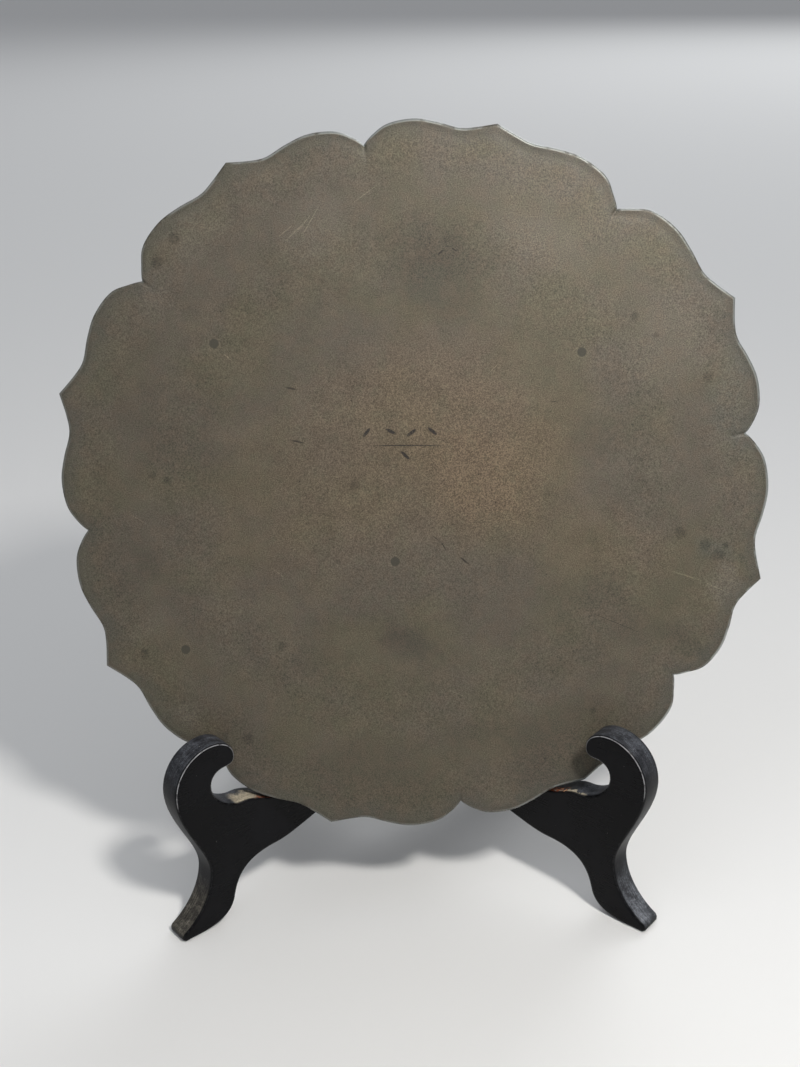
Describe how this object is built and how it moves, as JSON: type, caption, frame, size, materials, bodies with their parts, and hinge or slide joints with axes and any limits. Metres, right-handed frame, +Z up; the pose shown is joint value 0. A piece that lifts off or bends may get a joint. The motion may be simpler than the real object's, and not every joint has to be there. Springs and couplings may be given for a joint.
{
  "type": "bronze mirror",
  "caption": "Lobed, bracket-edged bronze mirror with a plain patinated face and a pierced knob behind, leaning in a black lacquered stand of halved, hooked boards.",
  "frame": {"origin": "middle of the whole object's box, on the surface that the stand's feet rest on", "axes": "+Z up, +X to the viewer's right, the mirror's plain face looks towards -Y and leans back"},
  "size_m": [0.2368, 0.1294, 0.2602],
  "materials": {
    "patinated_bronze": "old worn polish under a thin grey-brown patina, satin, with fine specks and scratches",
    "black_lacquered_wood": "black lacquer, satin, rubbed on the edges and worn to pale wood in the seats"
  },
  "bodies": {
    "root": {"bronze_mirror": "patinated_bronze", "stand_board_left": "black_lacquered_wood", "stand_board_right": "black_lacquered_wood"}
  },
  "joints": []
}
